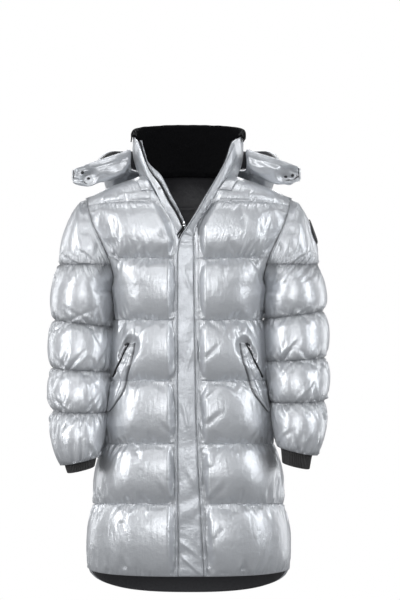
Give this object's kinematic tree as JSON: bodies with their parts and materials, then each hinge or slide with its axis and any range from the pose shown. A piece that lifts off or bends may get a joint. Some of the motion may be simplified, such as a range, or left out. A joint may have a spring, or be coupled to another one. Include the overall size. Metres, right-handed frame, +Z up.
{
  "type": "long puffer coat",
  "caption": "Long silver hooded puffer coat in its worn form, zipped to the chest, with knit cuffs, slanted zip pockets and a drop tail.",
  "frame": {"origin": "between the shoulders at the base of the neck, where the wearer carries the coat", "axes": "+Z up, -Y the way the wearer faces, -X the wearer's right"},
  "size_m": [0.666, 0.4083, 1.1521],
  "materials": {
    "shell": "pearl metallic woven shell, satin",
    "lining": "plain woven lining, soft sheen",
    "fleece": "thick fleece, matt",
    "knit": "rib knit, matt",
    "tape": "woven zip tape with moulded teeth, matt",
    "patch": "plain twill patch with a stitched border",
    "nickel": "polished nickel"
  },
  "bodies": {
    "coat": {"front_right": "shell", "front_left": "shell", "back": "shell", "back_lining": "lining", "sleeve_right": "shell", "sleeve_left": "shell", "rib_cuff_right": "knit", "rib_cuff_left": "knit", "collar_outer": "shell", "collar_lining": "fleece", "storm_flap": "shell", "wind_flap": "shell", "zip_tape_right": "tape", "zip_tape_left": "tape", "front_zip_slider": "nickel", "hood_outer": "shell", "hood_lining": "lining", "hood_tab_right": "shell", "hood_tab_left": "shell", "hood_eyelet_right_1": "nickel", "hood_eyelet_right_2": "nickel", "hood_eyelet_left_1": "nickel", "hood_eyelet_left_2": "nickel", "pocket_welt_right": "shell", "pocket_welt_left": "shell", "pocket_zip_right": "tape", "pocket_zip_left": "tape", "pocket_slider_right": "nickel", "pocket_slider_left": "nickel", "sleeve_patch": "patch", "wind_flap_snap": "nickel"},
    "pull_right": {"pocket_pull_right": "nickel"},
    "pull_left": {"pocket_pull_left": "nickel"}
  },
  "joints": [
    {"name": "pull_right_swing", "type": "hinge", "parent": "coat", "child": "pull_right", "pos_m": [-0.14627, -0.11403, -0.39252], "axis": [-0.6045, 0.5399, 0.5858], "range_deg": [0, 150]},
    {"name": "pull_left_swing", "type": "hinge", "parent": "coat", "child": "pull_left", "pos_m": [0.14099, -0.11995, -0.39269], "axis": [-0.6389, -0.5086, -0.5772], "range_deg": [0, 150]}
  ]
}
